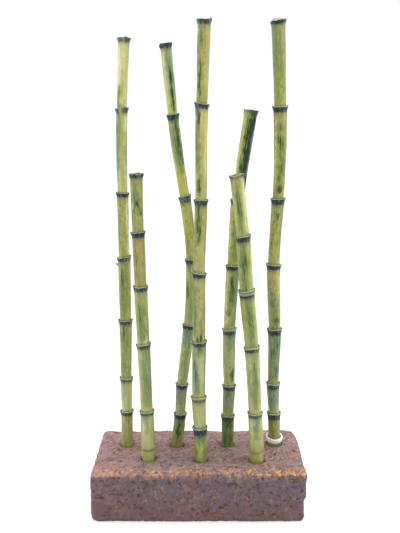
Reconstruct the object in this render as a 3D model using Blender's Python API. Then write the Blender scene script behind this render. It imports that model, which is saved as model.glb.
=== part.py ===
# Ceramic bamboo grove: seven slender jointed canes of glazed clay, each standing in its own blind socket
# in a rough brick-shaped block of fired clay, with a white collar seated round the foot of the tall
# right-hand cane.
#
# Frame: origin at the centre of the block's underside, +Z up, +X to the right, the front faces -Y.
# Sizes are in millimetres and become metres through MM where a shape is made.

import math

import bmesh
import bpy
from mathutils import Vector

MM = 0.001

# Clay block
BLOCK_LENGTH = 240.0
BLOCK_DEPTH = 115.0
BLOCK_HEIGHT = 55.0
CORNER_RADIUS = 9.0          # upright corners, seen from above
TOP_EDGE_RADIUS = 4.0
BOTTOM_EDGE_RADIUS = 2.5
CORNER_SEGMENTS = 4
EDGE_SEGMENTS = 3

# Sockets: seven columns, alternately in the back row and the front row
COLUMN_COUNT = 7
END_MARGIN = 30.0            # end of the block to the centre of the nearest socket
ROW_MARGIN = 38.5            # front or back face to the centre line of the row beside it
SOCKET_DEPTH = 32.0
SOCKET_CLEARANCE = 0.5       # all round a cane's foot
SEAT_GAP = 0.4               # under a cane's foot

# Joints of the canes: each internode flares to a thin lip, and the next one rises out of a shallow recess
FLARE_HEIGHT = 5.0           # start of the flare to the top of the lip
LIP_HEIGHT = 1.4
LIP_THICKNESS = 1.0
RECESS_DEPTH = 1.5
WAIST_HEIGHT = 6.0           # height over which the waist stays narrow above a joint
FOOT_HEIGHT = 7.0            # height over which the foot keeps its full width above the block

# Top ends
CUP_DEPTH = 3.0              # hollow inside the top lip
CUP_DRAFT = 0.6              # how much narrower the hollow's floor is than its mouth, each side
DOME_HEIGHT = 4.5
DOME_RINGS = 3
DOME_CAP = 0.2               # flat left at the crown, as a share of the dome's radius

# White collar, seated on the shoulder of the foot that it goes round
COLLAR_CANE = "tall_right_cane"
COLLAR_HEIGHT = 5.5
COLLAR_WALL = 2.6
COLLAR_CLEARANCE = 0.35      # to the cane inside it and to the shoulder under it
COLLAR_ROUNDING = 0.9
SHOULDER_STEP = 0.9          # how far the shoulder stands out from the cane inside the collar

CANE_SIDES = 12
COLLAR_SIDES = 20
SOCKET_SIDES = 24

# One entry for each cane, from left to right: its row, how far its socket strays from an even spacing,
# its diameters, its backward lean in degrees, its top end, and its internodes from the foot up.
# An internode is its length and how far it drifts to the right, in socket spacings.
CANES = {
    "tall_left_cane": {
        "row": "back", "stray": 3.0, "foot": 14.2, "waist": 11.6, "neck": 13.4, "rim": 16.2,
        "lean_back": 0.5, "top": "cup",
        "internodes": [(45, 0.02), (42, 0.01), (71, 0.02), (75, -0.01), (74, 0.01), (93, 0.04), (74, 0.12)],
    },
    "short_left_cane": {
        "row": "front", "stray": 1.5, "foot": 15.6, "waist": 14.0, "neck": 15.2, "rim": 18.0,
        "lean_back": -0.6, "top": "cup",
        "internodes": [(62, -0.05), (80, -0.07), (66, -0.08), (61, -0.06), (63, -0.03)],
    },
    "bowed_cane": {
        "row": "back", "stray": 3.0, "foot": 13.8, "waist": 11.6, "neck": 13.2, "rim": 15.8,
        "lean_back": 0.8, "top": "cup",
        "internodes": [(42, 0.14), (37, 0.09), (73, 0.28), (78, 0.11), (72, -0.23), (91, -0.43), (75, -0.26)],
    },
    "tall_middle_cane": {
        "row": "front", "stray": 2.0, "foot": 14.6, "waist": 12.8, "neck": 14.4, "rim": 17.2,
        "lean_back": -0.3, "top": "cup",
        "internodes": [(40, -0.03), (38, -0.04), (67, 0.03), (79, -0.02), (80, 0.08), (102, 0.01), (84, 0.07)],
    },
    "leaning_cane": {
        "row": "back", "stray": 4.5, "foot": 14.0, "waist": 12.8, "neck": 14.6, "rim": 17.2,
        "lean_back": 0.6, "top": "cut",
        "internodes": [(39, -0.02), (39, 0.04), (70, 0.00), (75, 0.12), (76, 0.15), (100, 0.46)],
    },
    "short_right_cane": {
        "row": "front", "stray": 7.0, "foot": 16.2, "waist": 14.8, "neck": 16.2, "rim": 18.4,
        "lean_back": -0.8, "top": "cup",
        "internodes": [(60, -0.09), (78, -0.18), (62, -0.22), (64, -0.15), (67, -0.25)],
    },
    "tall_right_cane": {
        "row": "back", "stray": 1.0, "foot": 15.8, "waist": 13.0, "neck": 15.0, "rim": 17.8,
        "lean_back": 0.3, "top": "dome",
        "internodes": [(42, -0.04), (38, -0.06), (66, 0.03), (78, -0.09), (75, 0.10), (102, 0.00), (92, -0.12)],
    },
}

CLAY_COLOUR = (0.29, 0.20, 0.19)
CANE_COLOUR = (0.40, 0.42, 0.15)
COLLAR_COLOUR = (0.85, 0.86, 0.84)


def clear_scene():
    for obj in list(bpy.data.objects):
        bpy.data.objects.remove(obj, do_unlink=True)


def make_material(name, colour, roughness):
    material = bpy.data.materials.new(name)
    material.use_nodes = True
    shader = material.node_tree.nodes["Principled BSDF"]
    shader.inputs["Base Color"].default_value = (*colour, 1.0)
    shader.inputs["Roughness"].default_value = roughness
    shader.inputs["Metallic"].default_value = 0.0
    return material


def add_object(name, bm, material=None):
    bmesh.ops.recalc_face_normals(bm, faces=bm.faces)
    mesh = bpy.data.meshes.new(name)
    bm.to_mesh(mesh)
    bm.free()
    obj = bpy.data.objects.new(name, mesh)
    bpy.context.scene.collection.objects.link(obj)
    if material:
        mesh.materials.append(material)
    return obj


def smooth_shade(obj, sharp_angle=math.radians(40)):
    obj.data.shade_smooth()
    obj.data.set_sharp_from_angle(angle=sharp_angle)


def socket_centre(column, cane):
    # Centre of a cane's socket on the block's top face.
    spacing = (BLOCK_LENGTH - 2 * END_MARGIN) / (COLUMN_COUNT - 1)
    row_offset = BLOCK_DEPTH / 2 - ROW_MARGIN
    x = -BLOCK_LENGTH / 2 + END_MARGIN + column * spacing + cane["stray"]
    y = row_offset if cane["row"] == "back" else -row_offset
    return Vector((x, y, BLOCK_HEIGHT))


def joint_points(column, cane):
    # The foot at the block's top face, then each joint in turn and the top end.
    spacing = (BLOCK_LENGTH - 2 * END_MARGIN) / (COLUMN_COUNT - 1)
    points = [socket_centre(column, cane)]
    for length, drift in cane["internodes"]:
        back = length * math.tan(math.radians(cane["lean_back"]))
        points.append(points[-1] + Vector((drift * spacing, back, length)))
    return points


def joint_directions(points):
    # Upright in the socket, along the last internode at the top, and halfway between neighbours elsewhere.
    directions = [Vector((0, 0, 1))]
    for below, above in zip(points, points[2:]):
        directions.append((above - below).normalized())
    directions.append((points[-1] - points[-2]).normalized())
    return directions


def along_cane(points, directions, internode, share):
    # Place and direction on the cane's smooth centre line, share 0 to 1 up one internode.
    start, end = points[internode], points[internode + 1]
    span = (end - start).length
    pull_start, pull_end = directions[internode] * span, directions[internode + 1] * span
    s = share
    place = (start * (2 * s**3 - 3 * s**2 + 1) + pull_start * (s**3 - 2 * s**2 + s)
             + end * (3 * s**2 - 2 * s**3) + pull_end * (s**3 - s**2))
    slope = (start * (6 * s**2 - 6 * s) + pull_start * (3 * s**2 - 4 * s + 1)
             + end * (6 * s - 6 * s**2) + pull_end * (3 * s**2 - 2 * s))
    return place, slope.normalized()


def ring_points(place, direction, radius, sides):
    # A round of points square to the direction, counter-clockwise seen from its tip.
    side = Vector((0, 1, 0)).cross(direction).normalized()
    away = direction.cross(side)
    points = []
    for number in range(sides):
        angle = 2 * math.pi * number / sides
        points.append(place + radius * (math.cos(angle) * side + math.sin(angle) * away))
    return points


def skin(rings, closed=False):
    # Joins rings into one body: capped at both ends, or round on itself where closed.
    bm = bmesh.new()
    loops = [[bm.verts.new(point * MM) for point in ring] for ring in rings]
    sides = len(loops[0])
    pairs = list(zip(loops, loops[1:]))
    if closed:
        pairs.append((loops[-1], loops[0]))
    for low, high in pairs:
        for number in range(sides):
            after = (number + 1) % sides
            bm.faces.new((low[number], low[after], high[after], high[number]))
    if not closed:
        bm.faces.new(reversed(loops[0]))
        bm.faces.new(loops[-1])
    return bm


def foot_profile(cane, length, has_collar):
    # The lowest internode: the foot keeps its width, or steps in to a shoulder that carries the collar.
    foot, neck = cane["foot"] / 2, cane["neck"] / 2
    profile = [(0.0, foot), (FOOT_HEIGHT, foot)]
    if has_collar:
        inside = foot - SHOULDER_STEP
        profile.append((FOOT_HEIGHT, inside))
        profile.append((FOOT_HEIGHT + COLLAR_HEIGHT + 2 * COLLAR_CLEARANCE, inside))
    profile.append((length - FLARE_HEIGHT, neck))
    return profile


def internode_profile(cane, length):
    # Narrow above the joint, then widening steadily to the neck.
    waist, neck = cane["waist"] / 2, cane["neck"] / 2
    return [(WAIST_HEIGHT, waist), (length / 2, (waist + neck) / 2), (length - FLARE_HEIGHT, neck)]


def lip_profile(cane, length):
    rim = cane["rim"] / 2
    return [(length - LIP_HEIGHT, rim), (length, rim), (length, rim - LIP_THICKNESS)]


def top_profile(cane, length):
    # The hollow, dome or plain cut that ends a cane.
    mouth = cane["rim"] / 2 - LIP_THICKNESS
    if cane["top"] == "cut":
        return [(length, cane["rim"] / 2)]
    profile = lip_profile(cane, length)
    if cane["top"] == "cup":
        profile.append((length - CUP_DEPTH, mouth - CUP_DRAFT))
        return profile
    for number in range(1, DOME_RINGS + 1):
        angle = number / DOME_RINGS * math.acos(DOME_CAP)
        profile.append((length + DOME_HEIGHT * math.sin(angle), mouth * math.cos(angle)))
    return profile


def cane_rings(column, cane, has_collar):
    points = joint_points(column, cane)
    directions = joint_directions(points)
    rings = []
    tenon_end = points[0] - Vector((0, 0, SOCKET_DEPTH - SEAT_GAP))
    rings.append(ring_points(tenon_end, directions[0], cane["foot"] / 2, CANE_SIDES))
    last = len(cane["internodes"]) - 1
    for number, (length, _) in enumerate(cane["internodes"]):
        if number == 0:
            profile = foot_profile(cane, length, has_collar)
        else:
            profile = internode_profile(cane, length)
        if number == last:
            profile += top_profile(cane, length)
        else:
            profile += lip_profile(cane, length)
            profile.append((length - RECESS_DEPTH, cane["waist"] / 2))
        for height, radius in profile:
            place, direction = along_cane(points, directions, number, height / length)
            rings.append(ring_points(place, direction, radius, CANE_SIDES))
    return rings


def add_cane(name, column, cane, material):
    obj = add_object(name, skin(cane_rings(column, cane, name == COLLAR_CANE)), material)
    smooth_shade(obj)
    return obj


def add_collar(material):
    # A short ring with rounded edges, following the cane that it goes round.
    cane = CANES[COLLAR_CANE]
    column = list(CANES).index(COLLAR_CANE)
    points = joint_points(column, cane)
    directions = joint_directions(points)
    first_length = cane["internodes"][0][0]
    inner = cane["foot"] / 2 - SHOULDER_STEP + COLLAR_CLEARANCE
    outer = inner + COLLAR_WALL
    low = FOOT_HEIGHT + COLLAR_CLEARANCE
    high = low + COLLAR_HEIGHT
    profile = [
        (low, inner), (low, outer - COLLAR_ROUNDING), (low + COLLAR_ROUNDING, outer),
        (high - COLLAR_ROUNDING, outer), (high, outer - COLLAR_ROUNDING), (high, inner),
    ]
    rings = []
    for height, radius in profile:
        place, direction = along_cane(points, directions, 0, height / first_length)
        rings.append(ring_points(place, direction, radius, COLLAR_SIDES))
    obj = add_object("foot_collar", skin(rings, closed=True), material)
    smooth_shade(obj)
    return obj


def bevel_edges(bm, edges, radius, segments):
    bmesh.ops.bevel(bm, geom=edges, offset=radius * MM, offset_type='OFFSET',
                    segments=segments, profile=0.5, affect='EDGES')


def flat_face_edges(bm, height):
    level = height * MM
    tolerance = 1e-6
    return [edge for edge in bm.edges if all(abs(vert.co.z - level) < tolerance for vert in edge.verts)]


def add_block(material):
    # A brick with rounded corners and edges; its underside stays flat.
    bm = bmesh.new()
    bmesh.ops.create_cube(bm, size=1.0)
    for vert in bm.verts:
        vert.co.x *= BLOCK_LENGTH * MM
        vert.co.y *= BLOCK_DEPTH * MM
        vert.co.z = (vert.co.z + 0.5) * BLOCK_HEIGHT * MM
    upright = [edge for edge in bm.edges if abs(edge.verts[0].co.z - edge.verts[1].co.z) > MM]
    bevel_edges(bm, upright, CORNER_RADIUS, CORNER_SEGMENTS)
    bevel_edges(bm, flat_face_edges(bm, BLOCK_HEIGHT), TOP_EDGE_RADIUS, EDGE_SEGMENTS)
    bevel_edges(bm, flat_face_edges(bm, 0.0), BOTTOM_EDGE_RADIUS, EDGE_SEGMENTS)
    obj = add_object("base_block", bm, material)
    smooth_shade(obj)
    return obj


def add_socket_cutter():
    # Seven upright plugs, each a cane's foot with the clearance added, standing proud of the block's top.
    rings = []
    for column, cane in enumerate(CANES.values()):
        centre = socket_centre(column, cane)
        radius = cane["foot"] / 2 + SOCKET_CLEARANCE
        for height in (-SOCKET_DEPTH, SOCKET_DEPTH):
            rings.append(ring_points(centre + Vector((0, 0, height)), Vector((0, 0, 1)), radius, SOCKET_SIDES))
    bm = bmesh.new()
    for low, high in zip(rings[::2], rings[1::2]):
        plug_mesh = bpy.data.meshes.new("plug")
        plug = skin([low, high])
        plug.to_mesh(plug_mesh)
        plug.free()
        bm.from_mesh(plug_mesh)
        bpy.data.meshes.remove(plug_mesh)
    cutter = add_object("socket_cutter", bm)
    cutter.hide_render = True
    cutter.display_type = 'WIRE'
    return cutter


def cut_sockets(block, cutter):
    cut = block.modifiers.new("sockets", 'BOOLEAN')
    cut.operation = 'DIFFERENCE'
    cut.solver = 'EXACT'
    cut.object = cutter


def build():
    clear_scene()
    clay = make_material("fired_clay", CLAY_COLOUR, 0.85)
    block = add_block(clay)
    cut_sockets(block, add_socket_cutter())
    for column, (name, cane) in enumerate(CANES.items()):
        glaze = make_material(name + "_glaze", CANE_COLOUR, 0.4)
        add_cane(name, column, cane, glaze)
    white_glaze = make_material("white_glaze", COLLAR_COLOUR, 0.3)
    add_collar(white_glaze)


build()
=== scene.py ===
import math
import random

import bmesh
import bpy
import numpy as np
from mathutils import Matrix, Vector, noise


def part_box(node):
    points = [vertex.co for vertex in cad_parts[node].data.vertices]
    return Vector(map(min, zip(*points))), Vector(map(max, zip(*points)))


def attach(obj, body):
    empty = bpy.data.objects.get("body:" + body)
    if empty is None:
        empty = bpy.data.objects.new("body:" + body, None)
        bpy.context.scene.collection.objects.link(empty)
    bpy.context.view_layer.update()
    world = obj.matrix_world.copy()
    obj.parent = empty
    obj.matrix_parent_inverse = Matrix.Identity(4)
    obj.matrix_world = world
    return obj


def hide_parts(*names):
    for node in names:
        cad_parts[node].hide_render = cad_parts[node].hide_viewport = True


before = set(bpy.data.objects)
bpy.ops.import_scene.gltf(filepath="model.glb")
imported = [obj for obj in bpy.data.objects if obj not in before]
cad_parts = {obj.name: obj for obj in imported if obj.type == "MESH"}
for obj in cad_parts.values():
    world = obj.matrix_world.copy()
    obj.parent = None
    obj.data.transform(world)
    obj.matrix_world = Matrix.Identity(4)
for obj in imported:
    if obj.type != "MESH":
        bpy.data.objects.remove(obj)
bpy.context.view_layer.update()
mm = 0.001
blockLow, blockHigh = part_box("base_block")
print("frame loaded with", len(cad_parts), "nodes")


view = {
    "lens": 52.9,
    "tiltDown": 12.5,      # degrees
    "inFront": 0.8031,     # from the block's front face
    "above": 0.417,        # over the block's top
    "aside": 0.0011,
}


def addObject(name, data):
    made = bpy.data.objects.new(name, data)
    bpy.context.scene.collection.objects.link(made)
    return made


def addCamera():
    camera = addObject("camera", bpy.data.cameras.new("camera"))
    camera.data.lens = view["lens"]
    camera.location = (view["aside"], blockLow.y - view["inFront"], blockHigh.z + view["above"])
    camera.rotation_euler = (math.radians(90 - view["tiltDown"]), 0, 0)
    bpy.context.scene.camera = camera


addCamera()


class Wire:
    # one output of a shader node, which adds, subtracts and multiplies like a number
    def __init__(self, graph, socket):
        self.graph, self.socket = graph, socket

    def __add__(self, other):
        return self.graph.math("ADD", self, other)

    def __sub__(self, other):
        return self.graph.math("SUBTRACT", self, other)

    def __rsub__(self, other):
        return self.graph.math("SUBTRACT", other, self)

    def __mul__(self, other):
        return self.graph.math("MULTIPLY", self, other)

    __radd__, __rmul__ = __add__, __mul__


class Graph:
    # a material's node tree, with its one shader, its tints and the colour laid so far
    def __init__(self, name, tints=None, ground=None):
        self.material = bpy.data.materials.new(name)
        self.material.use_nodes = True
        self.tree = self.material.node_tree
        self.shader = self.tree.nodes["Principled BSDF"]
        self.tints = tints
        self.colour = tints[ground] if tints else None

    def put(self, socket, value):
        if isinstance(value, Wire):
            self.tree.links.new(value.socket, socket)
        elif isinstance(value, tuple) and socket.type == "RGBA":
            socket.default_value = (*value, 1.0)
        else:
            socket.default_value = value

    def node(self, kind, settings, values, output=0):
        made = self.tree.nodes.new("ShaderNode" + kind)
        for name, setting in settings.items():
            setattr(made, name, setting)
        for name, value in values.items():
            self.put(made.inputs[name], value)
        return Wire(self, made.outputs[output])

    def math(self, operation, first, second=0.0):
        return self.node("Math", {"operation": operation}, {0: first, 1: second})

    def clamp(self, value):
        return self.node("Clamp", {}, {"Value": value})

    def step(self, value, low, high):
        # 0 below low, 1 above high, smooth between
        return self.node("MapRange", {"interpolation_type": "SMOOTHSTEP"},
                         {"Value": value, "From Min": low, "From Max": high})

    def attribute(self, name, output=2):
        # output 2 is a number, and 1 a vector
        return self.node("Attribute", {"attribute_name": name}, {}, output)

    def part(self, vector, axis):
        return self.node("SeparateXYZ", {}, {0: vector}, axis)

    def stretch(self, vector, scale):
        return self.node("VectorMath", {"operation": "MULTIPLY"}, {0: vector, 1: scale})

    def placeInMm(self):
        return self.stretch(self.node("TexCoord", {}, {}, 3), (1 / mm, 1 / mm, 1 / mm))

    def noise(self, vector, scale, detail=3.0, rough=0.5):
        # three scales stretch the pattern
        if isinstance(scale, tuple):
            vector, scale = self.stretch(vector, scale), 1.0
        return self.node("TexNoise", {}, {"Vector": vector, "Scale": scale, "Detail": detail, "Roughness": rough})

    def blend(self, factor, under, over):
        return self.node("Mix", {"data_type": "RGBA", "blend_type": "MIX"}, {0: factor, 6: under, 7: over}, 2)

    def coat(self, tint, mask):
        # lays a tint over the colour so far, where the mask says
        self.colour = self.blend(mask, self.colour, self.tints[tint] if isinstance(tint, str) else tint)

    def finish(self, roughness, height, relief):
        bump = self.node("Bump", {}, {"Strength": relief[0], "Distance": relief[1], "Height": height})
        for name, value in (("Base Color", self.colour), ("Roughness", roughness), ("Normal", bump)):
            self.put(self.shader.inputs[name], value)
        return self.material


def setFloat(mesh, name, values):
    mesh.attributes.new(name, "FLOAT", "POINT").data.foreach_set("value", np.asarray(values, np.float32))


def showPiece(piece, node):
    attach(piece, "root")
    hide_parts(node)


def newMesh(name, points, faces):
    mesh = bpy.data.meshes.new(name)
    mesh.from_pydata(points, [], faces)
    mesh.shade_smooth()
    return mesh


def tubeFaces(rings, sides, first=0, closed=False):
    # quads between rings of points, and a cap at each end unless the last ring meets the first
    faces = []
    for ring in range(rings if closed else rings - 1):
        low, high = first + ring * sides, first + (ring + 1) % rings * sides
        for spot in range(sides):
            after = (spot + 1) % sides
            faces.append((low + spot, low + after, high + after, high + spot))
    if not closed:
        faces.append(tuple(first + spot for spot in reversed(range(sides))))
        faces.append(tuple(first + (rings - 1) * sides + spot for spot in range(sides)))
    return faces


def smoothThrough(knots, values, at):
    slopes = np.gradient(values, knots)
    low = np.clip(np.searchsorted(knots, at) - 1, 0, len(knots) - 2)
    width = knots[low + 1] - knots[low]
    t = (at - knots[low]) / width
    return (values[low] * (2 * t**3 - 3 * t**2 + 1) + slopes[low] * width * (t**3 - 2 * t**2 + t)
            + values[low + 1] * (3 * t**2 - 2 * t**3) + slopes[low + 1] * width * (t**3 - t**2))


class CaneFrame:
    # the centre line, the joint heights and the girth of a CAD cane, all in millimetres
    searchStep = 0.25
    jointReach = 12.0          # two joints are further apart than this
    flareWidth = 0.8           # a joint stands out from the cane by more than this

    def __init__(self, name):
        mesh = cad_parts[name].data
        points = np.empty(len(mesh.vertices) * 3)
        mesh.vertices.foreach_get("co", points)
        pairs = np.empty(len(mesh.edges) * 2, np.int32)
        mesh.edges.foreach_get("vertices", pairs)
        points = points.reshape(-1, 3) / mm
        first, second = points[pairs[::2]], points[pairs[1::2]]
        swap = first[:, 2] > second[:, 2]
        self.lower = np.where(swap[:, None], second, first)
        self.upper = np.where(swap[:, None], first, second)
        self.bottom, self.top = points[:, 2].min(), points[:, 2].max()
        self.foot = blockHigh.z / mm
        self.findJoints()
        self.findCentreLine()

    def cut(self, height):
        # middle and half width where the cane crosses a height
        crossing = (self.lower[:, 2] <= height) & (self.upper[:, 2] > height)
        low, high = self.lower[crossing], self.upper[crossing]
        share = ((height - low[:, 2]) / (high[:, 2] - low[:, 2]))[:, None]
        across = (low + (high - low) * share)[:, :2]
        middle = (across.max(0) + across.min(0)) / 2
        return middle, (across[:, 1].max() - across[:, 1].min()) / 2

    def findJoints(self):
        heights = np.arange(self.foot + 1, self.top - 1, self.searchStep)
        girth = np.array([self.cut(height)[1] for height in heights])
        reach = int(self.jointReach / self.searchStep)
        self.joints = []
        for spot in range(reach, len(heights) - reach):
            near = girth[spot - reach:spot + reach]
            tallest = girth[spot] >= near.max() - 0.02
            if tallest and girth[spot] > np.median(near) + self.flareWidth:
                if self.joints and heights[spot] - self.joints[-1] < self.jointReach:
                    self.joints.pop()
                self.joints.append(heights[spot])
        self.joints.append(self.rimHeight())

    def rimHeight(self):
        # the last lip, which a dome may stand over
        heights = np.arange(self.top - 0.2, self.top - 9, -self.searchStep)
        girth = np.array([self.cut(height)[1] for height in heights])
        return heights[np.argmax(girth > girth.max() - 0.15)] + 0.1

    def findCentreLine(self):
        knots = [self.bottom, self.foot + 0.5]
        middles = [self.cut(self.bottom + 1)[0], self.cut(self.foot + 0.5)[0]]
        start = self.foot
        for end in self.joints:
            for share in (0.3, 0.55, 0.8):
                knots.append(start + (end - start) * share)
                middles.append(self.cut(knots[-1])[0])
            start = end
        slope = (middles[-1] - middles[-2]) / (knots[-1] - knots[-2])
        middles.append(middles[-1] + slope * (self.top + 6 - knots[-1]))
        knots.append(self.top + 6)
        self.knots, self.middles = np.array(knots), np.array(middles)

    def centre(self, heights):
        heights = np.asarray(heights, float)
        return np.stack([smoothThrough(self.knots, self.middles[:, axis], heights) for axis in (0, 1)]
                        + [heights], -1)

    def girthAt(self, height):
        return self.cut(height)[1]


caneMake = {
    "sides": 52,
    "bodyStep": 2.2,           # mm between rings on the plain stretches
    "lump": 0.30,              # mm, slow swelling of the wall
    "rib": 0.14,               # mm, long ridges
    "lipWave": 0.40,           # mm, unevenness of a lip's edge
    "lipWear": 0.35,           # mm, dents in a lip's side
    "recess": 1.7,             # mm, how deep the next internode is seated
    "lipWall": 1.25,           # mm
    "sleeveStep": 0.5,         # mm, how far a sleeve stands out over the foot
    "sleeveDip": 2.0,          # mm, how far a sleeve's edge hangs lower at the front
    "strayStrokes": 5,         # extra brush marks on the sides and back of each internode
    "drift": 22.0,             # degrees, how much a stroke wanders
    "calmWidth": 4.5,          # mm, a stroke wider than this has steadier edges
    "strokeFade": 2.5,         # mm, how far a stroke runs out past its ends
}

# how a lip flares: millimetres under its crest, and the share of the flare reached there
flareShape = [(7.5, 0.0), (6.0, 0.03), (5.0, 0.08), (4.2, 0.17), (3.4, 0.31), (2.7, 0.47), (2.0, 0.66),
              (1.4, 0.82), (0.9, 0.94), (0.5, 1.0), (0.2, 1.0), (0.0, 0.9)]

inks = ("tan", "paleAndHighlight", "lime", "leaf", "teal", "deep", "night", "mistAndSheen")
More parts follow.
